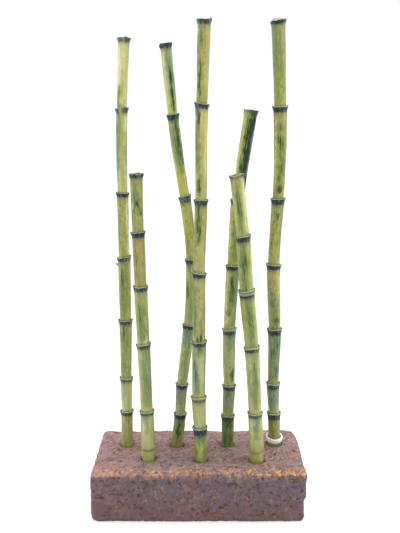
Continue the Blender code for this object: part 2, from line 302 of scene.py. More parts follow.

# Each cane, with what its maker would set. Every list runs from the foot up.
# dapples: how strong its small green blots are
# sleeve: how high over the foot its edge runs, in mm, and how dark the painted shade line at that edge is
# crease: a thin dark line round one lip, as the joint and the mm under its crest
# nib: a bud, as its height over the block, its turn and its length
# shifts: how far each internode bends to the right of its centre line, in mm
# swells: how much stouter its radius is, in mm
# tilts: how far the right side of each lip stands above its middle, in mm
# lifts: how far a whole lip is drawn up over its joint, in mm
# bands: how far under each lip its dark band starts and how tall it is, in mm, and how dark
# cream, green, olive: how much of each colour every internode takes
# nicks: a joint, a turn, a width in degrees and a rise in mm, where a lip stands up or is chipped away
# gaps: a joint, a turn, a width in degrees and how much of the band is missing there
# The inks, from tan to mist, list their brush strokes: the internode, where the stroke begins and ends in
# hundredths of it, the turn or the two turns between those, a width in mm and a strength in hundredths.
# Some pale strokes near a cane's edges are painted highlight lines, and the blue-grey mist strokes at its
# very edges are painted sheen; the rest are glaze.
# A turn is in degrees round the cane: 0 faces the front, -90 the left and 90 the right.
canes = {
    "tall_left_cane": {
        "seed": 11, "end": "cup", "dapples": 0.65, "nib": (224, -88, 3.8),
        "shifts": [-0.1, -0.15, -0.4, -0.3, -0.45, -1.4, -0.8],
        "swells": [0.2, 0.45, 0.7, 0.8, 0, -0.1, -0.4],
        "tilts": [0.3, -0.2, 0.2, 1.6, -0.3, 0.9, 0.2],
        "lifts": [0.9, 0.6, 0.6, 0.5, 0.5, 1, 1.5],
        "bands": [(0.3, 4, 0.85), (0.4, 4, 0.75), (0.3, 4.2, 0.9), (0.1, 4.6, 1), (0.2, 4.6, 1.05), (0.1, 5, 0.9),
            (0.1, 4.2, 0.85)],
        "cream": [0.1, 0.45, 0.15, 0.1, 0.25, 0.6, 0.98],
        "green": [0.1, 0.05, 0.5, 0.35, 0.2, 0.2, 0],
        "olive": [0.55, 0.1, 0.7, 0.6, 0.65, 0.15, 0.05],
        "nicks": [(5, 28, 14, 1.3), (5, -70, 16, -0.8), (6, 22, 14, 0.8), (6, -12, 12, -0.5)],
        "gaps": [(5, -8, 22, 0.6), (6, 2, 8, 0.4), (3, 50, 36, 0.4)],
        "tan": [(5, 10, 50, 25, 5, 60), (4, 10, 70, (15, 20), 6, 60), (6, 30, 70, 20, 6, 50),
            (0, 10, 60, (0, 10), 6, 70)],
        "paleAndHighlight": [(5, 10, 95, 52, 4, 90), (4, 10, 95, 55, 4, 90), (6, 35, 85, (-20, -15), 7, 70),
            (6, 5, 20, (0, 5), 4, 60), (1, 30, 90, (-20, -15), 4, 50)],
        "lime": [(6, 10, 35, -5, 5, 80), (5, 50, 95, 5, 6, 50), (1, 10, 90, 45, 5, 60), (4, 20, 90, 5, 6, 40)],
        "leaf": [(6, 2, 32, (-48, -46), 5.5, 110), (6, 50, 97, 66, 2.5, 40), (5, 20, 95, (-60, -58), 5, 100),
            (5, 60, 95, -28, 5, 90), (4, 10, 90, -62, 5, 90), (3, 5, 95, (-18, -14), 8, 80),
            (3, 20, 80, 40, 5, 70), (2, 50, 95, (-10, -14), 5, 80), (2, 5, 50, (-30, -25), 5, 70),
            (2, 10, 90, 66, 3, 80), (0, 50, 95, -50, 4, 50)],
        "teal": [(5, 15, 98, (-64, -62), 4.5, 120), (4, 20, 90, (-72, -70), 4, 90), (3, 20, 90, -75, 3, 70),
            (2, 50, 98, -60, 4, 80), (1, 20, 98, (-36, -30), 5, 60), (1, 70, 100, (-10, -20), 5, 70)],
        "deep": [(6, 4, 28, (-50, -48), 3, 100), (5, 70, 90, (-48, -46), 3.5, 100),
            (3, 55, 85, (-25, -20), 4, 80), (3, 70, 85, 15, 2.5, 70), (2, 66, 97, (-10, -14), 2.5, 80),
            (2, 10, 35, (-20, -15), 3, 70)],
    },
    "short_left_cane": {
        "seed": 12, "end": "cup", "dapples": 0.35, "sleeve": (16.5, 0.85),
        "shifts": [0.2, 0, -0.2, 0.25, 0],
        "swells": [0.05, -0.1, -0.1, -0.45, -0.7],
        "tilts": [0.2, 0.9, 0, 0.3, 0],
        "lifts": [0, 0.8, 1.5, 1.1, 1.1],
        "bands": [(0.7, 3.6, 0.8), (0.6, 3.8, 0.9), (0.5, 3.8, 0.95), (0.2, 4.8, 1), (0.1, 3.9, 1)],
        "cream": [0.35, 0.2, 0.15, 0.1, 0.15],
        "green": [0.25, 0.4, 0.6, 0.45, 0.5],
        "olive": [0.35, 0.4, 0.6, 1, 0.85],
        "nicks": [(4, -38, 6, 0.8), (4, -8, 7, 1), (4, 20, 6, 0.8), (4, 44, 7, 0.5), (1, 72, 18, 1),
            (3, 75, 16, 0.7)],
        "tan": [(4, 30, 95, 12, 6, 80), (3, 20, 90, 10, 6, 50), (1, 0, 15, 0, 9, 70), (0, 40, 80, 15, 6, 50)],
        "paleAndHighlight": [(2, 2, 50, (26, 30), 2.2, 180), (4, 60, 90, -35, 2, 60), (0, 30, 90, -30, 4, 50)],
        "lime": [(4, 20, 50, -15, 6, 60), (0, 0, 24, 0, 14, 100), (0, 20, 60, 55, 4, 70)],
        "leaf": [(4, 50, 85, (-5, -12), 6, 90), (4, 34, 70, (28, -10), 6, 110), (4, 5, 95, -60, 4, 80),
            (3, 10, 95, (-50, -52), 4, 70), (3, 10, 90, 45, 3, 40), (2, 10, 70, (0, 5), 8, 90),
            (2, 0, 50, 35, 3, 50), (1, 10, 95, (16, 24), 9, 100), (0, 50, 90, -10, 5, 50)],
        "teal": [(1, 10, 95, (40, 42), 8, 60), (2, 85, 100, 0, 12, 50), (3, 85, 100, -40, 6, 70),
            (4, 0, 20, -50, 5, 50), (0, 80, 100, -10, 9, 70)],
        "deep": [(4, 33, 56, (38, 2), 3.6, 130), (4, 8, 92, -20, 1.3, 90), (4, 15, 60, -58, 2, 80),
            (3, 20, 85, -20, 1.2, 80), (2, 20, 85, (-20, -18), 1.4, 90), (2, 10, 40, 15, 2.5, 70),
            (1, 30, 70, 25, 3, 50)],
    },
    "bowed_cane": {
        "seed": 13, "end": "cup", "dapples": 0.75,
        "shifts": [0.65, -0.15, 0, 0, -0.3, -1.6, -0.45],
        "swells": [0.2, 0.4, 0.4, 0.25, 0, -0.2, -0.4],
        "tilts": [0.3, 0.2, 0, 0.4, 1.2, 0.2, 0.4],
        "lifts": [0.5, 0.8, 0.3, 1, 1.5, 1.5, 1.8],
        "bands": [(0.4, 5.2, 0.9), (0.2, 4.8, 0.95), (0.1, 4.4, 1), (0.2, 4.4, 1), (0.1, 6, 0.85), (0.2, 5, 1.05),
            (0.1, 4.2, 1)],
        "cream": [0.05, 0.15, 0.25, 0.25, 0.2, 0.4, 0.75],
        "green": [0.4, 0.35, 0.25, 0.35, 0.35, 0.15, 0.2],
        "olive": [0.65, 0.5, 0.35, 0.2, 0.6, 0.25, 0.1],
        "nicks": [(6, -72, 14, -1.6), (6, -46, 9, 0.7), (6, 8, 30, 0.5), (0, -72, 14, 1), (1, 70, 16, 0.9)],
        "tan": [(5, 0, 40, -5, 9, 110), (4, 70, 100, 0, 9, 90), (6, 20, 50, -25, 4, 50), (0, 10, 40, -15, 4, 60)],
        "paleAndHighlight": [(6, 30, 90, -20, 6, 70), (6, 10, 100, (60, 56), 6, 150), (5, 30, 100, (64, 62), 7, 180),
            (5, 45, 75, (-10, -8), 3, 60), (2, 10, 40, -10, 4, 40)],
        "lime": [(5, 0, 40, -5, 7, 100), (4, 10, 95, -10, 8, 90), (6, 10, 60, -15, 6, 50), (3, 20, 90, 5, 5, 60)],
        "leaf": [(6, 5, 95, (34, 22), 5.2, 120), (5, 60, 98, -40, 4, 40), (5, 30, 98, (22, 26), 9, 120),
            (4, 30, 90, 60, 3, 80), (4, 0, 50, -45, 5, 60), (3, 30, 95, (-50, -45), 4, 60),
            (3, 5, 95, (10, 15), 7, 70), (2, 0, 90, (12, 8), 7, 70), (2, 10, 60, 50, 3, 40),
            (1, 10, 90, -55, 3, 40), (1, 10, 90, 50, 3, 70), (0, 30, 95, 5, 8, 80)],
        "teal": [(6, 30, 100, (56, 52), 6, 110), (6, 10, 50, (62, 60), 3, 80), (5, 50, 100, -65, 4, 90),
            (5, 40, 100, 62, 5, 70), (2, 70, 100, 0, 13, 110), (1, 40, 98, (-5, 0), 9, 100)],
        "deep": [(6, 6, 68, (36, 22), 3.6, 115), (5, 40, 97, (25, 29), 5, 115), (5, 90, 99, (-15, -12), 6, 80),
            (3, 40, 65, -48, 4, 100), (3, 85, 100, -40, 6, 80), (2, 80, 100, -10, 10, 50),
            (1, 10, 50, -5, 2.5, 70), (0, 25, 75, (8, 4), 3.5, 130), (0, 80, 100, 5, 10, 90),
            (0, 10, 20, 10, 3, 80)],
    },
    "tall_middle_cane": {
        "seed": 14, "end": "cup", "dapples": 0.5,
        "shifts": [0, -0.1, -0.6, -0.2, -0.2, -0.4, 0.45],
        "swells": [0.3, 0.95, 0.95, 0.2, -0.1, -0.3, -0.5],
        "tilts": [0, 0.2, 0.6, -1, 0.2, -1.3, 0.2],
        "lifts": [2, 1.5, 0.5, 0.5, 1.1, 0.9, 1.2],
        "bands": [(1.3, 5.4, 0.85), (1.5, 3.2, 0.7), (0.4, 4.4, 0.95), (0.9, 4.4, 1), (0.2, 5.2, 0.95),
            (0.3, 5, 1), (0.5, 4, 0.95)],
        "cream": [0.15, 0.3, 0.25, 0.25, 0.3, 0.5, 0.35],
        "green": [0.2, 0.15, 0.25, 0.25, 0.15, 0.1, 0.3],
        "olive": [0.45, 0.5, 0.3, 0.7, 0.65, 0.35, 0.85],
        "nicks": [(6, 63, 10, 1.7), (3, -72, 14, 1.4), (2, 72, 14, 1.4), (0, -74, 14, 1), (1, 72, 14, 0.8)],
        "tan": [(6, 5, 95, 20, 10, 90), (5, 5, 95, 18, 9, 100), (4, 10, 90, 22, 8, 90),
            (3, 20, 95, (10, 5), 7, 80), (1, 30, 90, 5, 7, 60)],
        "paleAndHighlight": [(6, 10, 95, (-52, -54), 1.6, 90), (5, 70, 95, 0, 3, 50), (5, 20, 60, 48, 2, 70),
            (0, 2, 40, 0, 7, 80)],
        "lime": [(0, 0, 60, -20, 7, 120), (6, 10, 60, -8, 6, 80), (5, 20, 95, 42, 5, 80), (5, 10, 70, 0, 6, 50),
            (4, 20, 90, 8, 6, 70), (0, 0, 50, 0, 9, 100)],
        "leaf": [(6, 70, 95, -38, 4.5, 90), (6, 5, 70, (-32, -34), 4.5, 90), (6, 30, 60, -60, 2, 40),
            (5, 30, 98, (-38, -42), 5, 100), (5, 5, 30, (-25, -28), 4, 80), (4, 40, 98, (-12, -32), 6, 85),
            (4, 0, 50, -55, 2, 30), (4, 0, 90, 58, 2.5, 60), (3, 10, 95, -55, 4, 80), (3, 5, 50, (25, 30), 4, 70),
            (2, 10, 80, (-5, -45), 5, 90), (2, 75, 100, 5, 6, 80), (2, 10, 90, 58, 3, 80),
            (0, 60, 100, 0, 14, 90), (0, 0, 60, -45, 4, 70), (0, 0, 60, 45, 4, 70)],
        "teal": [(6, 30, 70, -60, 3, 80), (5, 20, 60, -62, 2.5, 70), (4, 0, 60, -62, 3, 90),
            (3, 10, 90, -65, 4, 90), (2, 5, 95, (-35, -40), 7, 80), (2, 5, 90, 60, 3, 90),
            (1, 60, 95, -60, 3, 60), (0, 50, 70, 0, 4, 70)],
        "deep": [(6, 70, 88, -38, 2.5, 90), (6, 12, 50, (-28, -30), 3.2, 100), (5, 75, 98, (-35, -42), 4.2, 110),
            (5, 40, 70, (-52, -50), 2.8, 90), (5, 10, 22, (-22, -25), 3, 130), (4, 45, 97, (-8, -28), 3.8, 105),
            (3, 1, 12, (12, 25), 3, 110), (3, 0, 8, (-10, -20), 4, 90), (2, 20, 75, (-12, -44), 2.6, 75),
            (2, 80, 98, 8, 5, 80), (0, 78, 100, 0, 16, 90)],
    },
    "leaning_cane": {
        "seed": 15, "end": "cut", "dapples": 0.7,
        "shifts": [0.3, 0.8, 0.4, 0.65, 0.6, 0.75],
        "swells": [0.2, 0.2, 0.5, 0.5, 0.3, 0.1],
        "tilts": [0, 0.2, 0.8, 0.3, 0, 0.4],
        "lifts": [1, 0, 0, 0.4, 0.3, -0.4],
        "bands": [(0.1, 5.2, 0.75), (0.5, 4.9, 0.95), (1.8, 4.6, 0.85), (0.2, 4.4, 1), (0.2, 5.2, 1),
            (0, 4, 0.35)],
        "cream": [0.1, 0.25, 0.35, 0.25, 0.3, 0.35],
        "green": [0.35, 0.35, 0.3, 0.35, 0.25, 0.2],
        "olive": [0.8, 0.75, 0.4, 0.6, 1.1, 0.25],
        "nicks": [(1, -72, 14, 1), (1, 72, 14, 1)],
        "tan": [(3, 10, 50, 10, 8, 90), (4, 0, 100, -40, 7, 90), (5, 70, 97, -20, 4, 80)],
        "paleAndHighlight": [(3, 10, 90, -46, 4, 100), (4, 10, 90, -50, 3, 80), (5, 20, 90, -40, 3, 70),
            (2, 40, 60, 0, 4, 40)],
        "lime": [(5, 0, 90, -28, 6, 90), (4, 0, 90, -10, 8, 80), (3, 10, 90, -30, 4, 50)],
        "leaf": [(5, 0, 100, -14, 4, 100), (5, 0, 100, 10, 6, 100), (5, -10, 110, (38, 36), 9, 150),
            (4, 10, 95, 22, 8, 110), (3, 20, 90, 2, 7, 70), (3, 5, 95, 48, 7, 120), (2, 10, 90, 0, 7, 50),
            (2, 10, 90, 45, 4, 60), (1, 10, 90, -55, 3, 60), (1, 10, 90, 50, 4, 70), (0, 0, 100, 0, 16, 100)],
        "teal": [(5, 10, 100, (66, 64), 3, 110), (3, 10, 90, 56, 4, 90), (2, 65, 98, 5, 8, 110),
            (1, 10, 98, (5, 0), 8, 80), (2, 30, 60, -55, 3, 60)],
        "deep": [(5, 20, 60, (-32, -30), 1.5, 80), (5, 30, 90, (4, 6), 2.5, 100), (3, 45, 85, (3, 0), 5.5, 120),
            (3, 20, 35, -20, 4, 70), (2, 8, 30, 28, 4, 130), (2, 85, 100, 0, 9, 80), (1, 60, 90, -20, 5, 80),
            (0, 60, 100, 0, 16, 90), (0, 0, 60, (-30, -25), 5, 70), (0, 0, 60, (30, 25), 5, 80)],
        "night": [(5, -10, 110, (38, 36), 8.2, 220), (5, 85, 110, 26, 6, 140)],
        # a painted highlight line down the right edge of the dark top internode
        "mistAndSheen": [(5, 0, 110, (72, 70), 3.2, 140)],
    },
    "short_right_cane": {
        "seed": 16, "end": "cup", "dapples": 0.3, "sleeve": (13.5, 0.55), "crease": (2, 1.2),
        "shifts": [-0.1, 0.3, 0.55, 0.4, -0.15],
        "swells": [0, 0.15, 0.5, 0.1, -0.7],
        "tilts": [0, 0.4, 0.3, 1.1, 0.5],
        "lifts": [0, 1.5, 5.4, 2.2, 0.8],
        "bands": [(0.9, 3.9, 0.8), (1.4, 3.4, 0.95), (2.9, 1.9, 1), (0.5, 4.2, 1), (0.1, 3.2, 0.85)],
        "cream": [0.4, 0.25, 0.3, 0.3, 0.45],
        "green": [0.3, 0.45, 0.4, 0.4, 0.3],
        "olive": [0.35, 0.4, 0.55, 0.55, 0.45],
        "nicks": [(4, -66, 12, 0.6), (4, 46, 14, 1.4), (4, -10, 26, -0.3), (3, 76, 14, 0.8), (2, 74, 14, 1.2)],
        "gaps": [(4, -12, 26, 0.55)],
        "tan": [(4, 70, 98, 0, 10, 80), (3, 70, 95, 20, 5, 60), (2, 10, 80, -25, 4, 60), (1, 0, 30, -20, 5, 60)],
        "paleAndHighlight": [(4, 10, 95, (45, 48), 4, 90), (4, 20, 80, -52, 2, 70), (1, 30, 95, -15, 3, 50),
            (0, 30, 95, -45, 3, 60)],
        "lime": [(4, 10, 80, 28, 4, 70), (3, 10, 90, (25, 28), 5, 70), (2, 10, 90, 40, 5, 60),
            (0, 0, 20, 0, 14, 90), (1, 10, 90, 50, 4, 60)],
        "leaf": [(4, 5, 95, (-10, -5), 6, 70), (3, 10, 95, (-12, -10), 8, 100), (3, 50, 90, 40, 3, 50),
            (2, 5, 95, (8, 5), 8, 100), (2, 20, 80, -50, 2, 70), (1, 10, 90, (12, 10), 7, 90),
            (1, 30, 70, -40, 3, 60), (0, 50, 95, 5, 6, 80)],
        "teal": [(1, 20, 90, 22, 5, 50), (0, 60, 95, 8, 4, 60), (4, 0, 20, -50, 4, 60),
            (3, 90, 100, -10, 10, 60)],
        "deep": [(4, 10, 85, (-10, -4), 4, 80), (3, 10, 92, (-12, -8), 5, 85), (2, 20, 90, 5, 3.5, 80),
            (2, 30, 80, 20, 2, 70), (1, 40, 85, (15, 12), 3, 60)],
    },
    "tall_right_cane": {
        "seed": 17, "end": "dome", "dapples": 0.8,
        "shifts": [0, 0, 0, -0.45, -0.3, 1, 0.1],
        "swells": [0, 0.15, 0.15, 0.7, -0.2, -0.1, 0.05],
        "tilts": [-0.3, 0, 0.2, -0.3, 0.5, 0.2, 0.9],
        "lifts": [1.6, 0.9, 2.2, 1.2, 2, 2, 0.8],
        "bands": [(0.9, 5.6, 0.9), (0.7, 5.4, 0.9), (0.4, 5, 1), (0.6, 4.4, 1), (0.4, 4.8, 1), (0.6, 4.4, 1.05),
            (0.3, 3.8, 1)],
        "cream": [0, 0.25, 0.25, 0.2, 0.3, 0.2, 0.15],
        "green": [0.5, 0.3, 0.45, 0.25, 0.25, 0.15, 0.1],
        "olive": [1.1, 0.4, 0.75, 0.65, 0.8, 0.8, 0.9],
        "nicks": [(6, -78, 16, -1.2), (3, -80, 12, 1.8), (4, 66, 16, 1.6), (5, 68, 14, 1.2), (5, -82, 12, 1),
            (1, -80, 12, 1.2), (0, -80, 12, 1.2)],
        "tan": [(6, 10, 95, (25, 22), 7, 70), (5, 70, 98, 20, 8, 70), (4, 10, 95, 20, 8, 90),
            (3, 60, 90, (10, 5), 10, 80), (0, 10, 95, 5, 8, 30)],
        "paleAndHighlight": [(3, 50, 90, 45, 2, 60), (1, 0, 100, 55, 7, 130), (0, 10, 100, 58, 4, 90),
            (5, 10, 90, -52, 3, 80)],
        "lime": [(6, 5, 45, 0, 9, 90), (5, 20, 80, -10, 8, 80), (5, 30, 80, 30, 5, 60), (4, 10, 90, -5, 6, 50)],
        "leaf": [(6, 40, 98, -45, 6, 90), (6, 5, 50, (-30, -35), 6, 70), (6, 30, 90, (15, 5), 4, 80),
            (5, 10, 95, (5, 0), 7, 50), (5, 10, 90, 45, 5, 90), (6, 10, 95, 52, 5, 80), (4, 10, 95, 52, 5, 80),
            (4, 50, 90, (-5, 0), 6, 60), (4, 10, 50, -40, 4, 50), (3, 5, 50, (-10, 15), 8, 70),
            (3, 40, 90, -40, 5, 60), (2, 10, 90, 20, 7, 70), (2, 10, 95, -45, 6, 80), (1, 10, 90, -45, 5, 90),
            (1, 20, 95, 30, 6, 80)],
        "teal": [(6, 40, 100, (-66, -64), 3.5, 120), (3, 30, 60, -10, 7, 80), (2, 10, 95, (22, 18), 9, 130),
            (1, 10, 95, 15, 8, 110), (2, 40, 90, -50, 4, 60)],
        "deep": [(5, 54, 70, (0, 5), 6.5, 120), (5, 30, 45, (22, 28), 6, 100), (5, 42, 50, (18, -10), 5, 90),
            (5, 9, 16, 3, 4.5, 120), (5, 76, 84, (-14, -10), 4, 90), (5, 20, 30, -5, 5, 80),
            (4, 72, 80, 5, 5, 120), (4, 30, 42, 10, 3, 80), (4, 90, 100, (-10, 20), 9, 80),
            (3, 55, 62, -15, 4, 80), (3, 70, 78, 5, 4, 70), (3, 10, 22, (20, 25), 6, 110),
            (3, 35, 50, -15, 5, 80), (2, 50, 85, (10, 12), 8, 110), (2, 10, 35, 25, 5, 90),
            (1, 10, 98, -35, 5, 50), (3, 0, 8, 0, 12, 70)],
        "mistAndSheen": [(6, 45, 100, (-74, -72), 3, 110), (0, 0, 90, 66, 4, 100), (2, 10, 90, 62, 5, 90),
            (2, 30, 80, 5, 6, 60), (1, 10, 90, 5, 6, 50)],
    },
}

farAway = 99.0       # mm, for a ring with no lip above it or no joint below


def caneRings(shape, look):
    # one tuple for each ring: height, radius, which joint tilts it and by how much,
    # distance under its lip, distance over the joint below
    make = caneMake
    rings = []
    flareTall = flareShape[0][0]
    footRadius = shape.girthAt(shape.foot - 2)
    rings.append((shape.bottom, footRadius - 0.8, 0, 0.0, farAway, farAway))
    for height in (shape.bottom + 0.8, (shape.bottom + shape.foot) / 2, shape.foot - 2):
        rings.append((height, footRadius, 0, 0.0, farAway, 0.0))
    start = shape.foot
    sleeve = look.get("sleeve", (0.0, 0.0))[0]
    for joint, end in enumerate(shape.joints):
        first, last = joint == 0, joint == len(shape.joints) - 1
        neck = shape.girthAt(end - flareTall)
        base = footRadius if first else shape.girthAt(start + 4)
        rim = max(shape.girthAt(end - 0.8), neck + 1.0)
        if not first:
            for over, extra in ((-make["recess"], 0.35), (-1.0, 0.1), (0.0, 0.0), (1.2, -0.08), (3.0, -0.05)):
                rings.append((start + over, base + extra, joint - 1, 1 - max(over, 0) / 5, farAway,
                              over + make["recess"]))
        bodyStart = start + (0.5 if first else 5.0)
        bodyEnd = end - flareTall
        if first and sleeve:
            for over, extra in ((1.0, 0.0), (sleeve - 1.4, 0.1), (sleeve - 0.5, -0.35), (sleeve, -0.6),
                                (sleeve + 0.3, make["sleeveStep"] * 0.7), (sleeve + 1.0, make["sleeveStep"])):
                height = start + over
                sway = min(over / (sleeve - 1.4), 1.0)
                rings.append((height, shape.girthAt(height) + extra, len(shape.joints), sway, end - height, over))
            bodyStart = start + sleeve + 2.5
        steps = max(3, int((bodyEnd - bodyStart) / make["bodyStep"]))
        for number in range(steps):
            height = bodyStart + (bodyEnd - bodyStart) * number / steps
            share = (height - bodyStart) / (bodyEnd - bodyStart)
            radius = base + (neck - base) * share
            if first:
                radius = shape.girthAt(height) + (make["sleeveStep"] * (1 - share) if sleeve else 0.0)
            rings.append((height, radius, 0, 0.0, end - height, height - start))
        if last and look["end"] == "cut":
            for under, share in ((flareTall, 0.0), (4.0, 0.4), (1.5, 0.8), (0.4, 1.0), (0.0, 0.9)):
                rings.append((end - under, neck + (rim - neck) * share, joint, 1.0, under, end - under - start))
            continue
        for under, share in flareShape:
            sway = 1 - under / flareTall
            rings.append((end - under, neck + (rim - neck) * share, joint, sway, under, end - under - start))
        inner = rim - make["lipWall"]
        for under, extra in ((-0.05, 0.55), (0.15, 0.2), (0.8, 0.0), (make["recess"], -0.05)):
            rings.append((end - under, inner + extra, joint, 1.0, -0.5 - max(under, 0), farAway))
        start = end
    if look["end"] == "cup":
        inner = rings[-1][1]
        for under, share in ((3.0, 0.95), (4.2, 0.85), (4.8, 0.5)):
            rings.append((end - under, inner * share, joint, 1.0, -5.0, farAway))
    elif look["end"] == "dome":
        inner = rings[-1][1]
        tall = shape.top - end + make["recess"] - 1.4
        for number in range(9):
            angle = number / 9 * math.pi / 2
            rings.append((end - make["recess"] + tall * math.sin(angle) ** 0.8, inner * math.cos(angle) ** 0.6,
                          joint, 0.3 * math.cos(angle), -9.0, farAway))
    return rings


def bell(turns, middle, width):
    # 1 at the middle turn, falling off to both sides, in degrees
    away = (turns - middle + 180) % 360 - 180
    return np.exp(-(away / width) ** 2)


def lipEdges(shape, look, turns):
    # how far each lip's edge rises above its joint, round the cane, in mm
    seed = look["seed"]
    rises = np.zeros((len(shape.joints), len(turns)))
    for joint in range(len(shape.joints)):
        for spot, turn in enumerate(turns):
            right, back = math.sin(math.radians(turn)), -math.cos(math.radians(turn))
            edge, jag = [noise.noise(Vector((right * rate, back * rate, joint * 7.0 + seed)))
                         for rate in (1.6, 5.0)]
            rises[joint, spot] = look["tilts"][joint] * right + caneMake["lipWave"] * (2 * edge + jag)
    for joint, middle, width, rise in look["nicks"]:
        rises[joint] += rise * bell(turns, middle, width)
    rises += np.array(look["lifts"], float)[:, None]
    return np.vstack([rises, -caneMake["sleeveDip"] * np.cos(np.radians(turns))])     # last, the sleeve's edge


def strayStrokes(look, internodes):
    # brush marks for the sides and the back, in the same form as a cane's own
    rng = random.Random(look["seed"] * 31)
    marks = {ink: [] for ink in inks}
    for internode in range(internodes):
        for _ in range(caneMake["strayStrokes"]):
            ink = rng.choice(("leaf", "leaf", "deep", "teal", "tan", "paleAndHighlight", "lime"))
            low = rng.uniform(0, 70)
            turn = 180 + rng.uniform(-95, 95)
            marks[ink].append((internode, low, low + rng.uniform(15, 60), (turn, turn + rng.uniform(-12, 12)),
                               rng.uniform(3, 8), rng.uniform(70, 110)))
    return marks


def brushField(strokes, shape, turns, heights, radii):
    # strength of an ink at every ring and turn
    field = np.zeros((len(heights), len(turns)))
    levels = [shape.foot] + list(shape.joints)
    for number, (internode, begin, finish, turn, width, strength) in enumerate(strokes):
        turnLow, turnHigh = turn if isinstance(turn, tuple) else (turn, turn)
        low, high = levels[internode], levels[internode + 1]
        begin, finish = [low + (high - low) * (share / 100) for share in (begin, finish)]
        share = np.clip((heights - begin) / (finish - begin), 0, 1)
        past = np.maximum(np.maximum(begin - heights, heights - finish), 0)
        along = np.exp(-(past / caneMake["strokeFade"]) ** 2) * (0.65 + 0.35 * np.sin(math.pi * share))
        along *= (heights > low - 1) & (heights < high + 0.5)
        drift, spread = [np.array([noise.noise(Vector((height * rate, number * step, own))) for height in heights])
                         for rate, step, own in ((0.10, 3.7, width), (0.16, 5.3, -width))]
        calm = min(1.0, caneMake["calmWidth"] / width)
        middle = turnLow + (turnHigh - turnLow) * share + caneMake["drift"] * calm * drift
        away = (turns[None, :] - middle[:, None] + 180) % 360 - 180
        across = np.radians(np.abs(away)) * radii[:, None] / (0.58 * width * (1 + calm * spread)[:, None])
        field = np.maximum(field, 0.85 * (strength / 100) * along[:, None] * np.exp(-across ** 2 * 0.6))
    return field


def eased(shape, values, heights):
    # a value for each internode, run smoothly up the cane and nothing under its foot
    levels = [shape.foot] + list(shape.joints)
    middles = [(low + high) / 2 for low, high in zip(levels, levels[1:])]
    knots = np.array([shape.bottom, shape.foot + 1] + middles + [shape.top + 2])
    values = np.array([0.0, 0.0] + list(values) + [values[-1]])
    return smoothThrough(knots, values, np.maximum(heights, shape.bottom))


def caneMesh(name, look, shape):
    make = caneMake
    rings = caneRings(shape, look)
    count, sides = len(rings), make["sides"]
    heights, radii, joints, sways, unders, overs = [np.array(column, float) for column in zip(*rings)]
    joints = joints.astype(int)
    radii += eased(shape, look["swells"], heights)
    centres = shape.centre(heights)
    centres[:, 0] += eased(shape, look["shifts"], heights)
    along = shape.centre(heights + 1) - shape.centre(heights - 1)
    along /= np.linalg.norm(along, axis=1)[:, None]
    side = np.cross((0, 1, 0), along)
    side /= np.linalg.norm(side, axis=1)[:, None]
    away = np.cross(along, side)
    turns = np.arange(sides) * 360 / sides - 180
    right, back = np.sin(np.radians(turns)), -np.cos(np.radians(turns))
    rises = lipEdges(shape, look, turns)
    seed = look["seed"]
    reach = np.empty((count, sides))
    for number, height in enumerate(heights):
        for spot in range(sides):
            slow, rib, wear = [noise.noise(Vector((right[spot] * turn, back[spot] * turn, height * rise + seed)))
                               for turn, rise in ((0.9, 0.03), (4.5, 0.008), (2.2, 0.25))]
            reach[number, spot] = (make["lump"] * slow + make["rib"] * rib * (1 - sways[number])
                                   + make["lipWear"] * sways[number] * wear)
    reach *= (heights >= shape.foot)[:, None]
    reach += radii[:, None]
    outward = right[:, None] * side[:, None] + back[:, None] * away[:, None]
    points = (centres[:, None] + reach[:, :, None] * outward
              + (sways[:, None] * rises[joints])[:, :, None] * along[:, None])
    points = [tuple(point) for point in (points.reshape(-1, 3) * mm).tolist()]
    faces = tubeFaces(count, sides)
    if "nib" in look:
        addNib(points, faces, look, shape)
    mesh = newMesh(name, points, faces)
    spare = len(points) - count * sides       # the nib's own points take plain values

    def keep(attribute, values, nibValue=0.0):
        values = np.broadcast_to(values, (count, sides)).ravel()
        setFloat(mesh, attribute, np.concatenate([values, np.full(spare, nibValue)]))

    last = len(shape.joints) - 1
    # an internode runs to its joint, and a joint's own colours a little over it
    internode, nearest = [np.clip(np.searchsorted(np.array(shape.joints) + over, heights), 0, last)
                          for over in (0.2, 3)]
    starts, talls, darks = np.array(look["bands"], float).T
    band = darks[nearest][:, None] * np.ones(sides)
    for joint, middle, width, missing in look.get("gaps", []):
        band *= 1 - missing * (nearest == joint)[:, None] * bell(turns, middle, width)
    creased, crease = look.get("crease", (-1, 0.0))
    sleeve, sleeveShadeStrength = look.get("sleeve", (-20.0, 0.0))
    keep("underLip", unders[:, None], -0.3)
    keep("bandStart", starts[nearest][:, None])
    keep("bandEnd", (starts + talls)[nearest][:, None])
    keep("creaseAt", np.where(nearest == creased, crease, -farAway)[:, None], -farAway)
    keep("overJoint", overs[:, None], farAway)
    keep("band", band)
    # how far round to the side each point is, for the painted side shade on the rings and lips
    keep("paintedSideShade", np.abs(right)[None, :])
    keep("sleeveLine", sleeveShadeStrength * np.exp(-(heights - shape.foot - sleeve) ** 2)[:, None])
    for tint in ("cream", "green", "olive"):
        keep(tint, np.array(look[tint], float)[internode][:, None], 0.3)
    stray = strayStrokes(look, len(shape.joints))
    for ink in inks:
        field = brushField(look.get(ink, []) + stray[ink], shape, turns, heights, radii)
        keep(ink + "Ink", field, 0.45 if ink in ("teal", "paleAndHighlight") else 0.0)
    around = np.stack([right * radii[:, None], back * radii[:, None], heights[:, None] * np.ones(sides)], -1)
    around = np.concatenate([around.reshape(-1, 3), np.array(points[len(points) - spare:]).reshape(-1, 3) / mm])
    mesh.attributes.new("roundCane", "FLOAT_VECTOR", "POINT").data.foreach_set("vector", around.ravel())
    return mesh


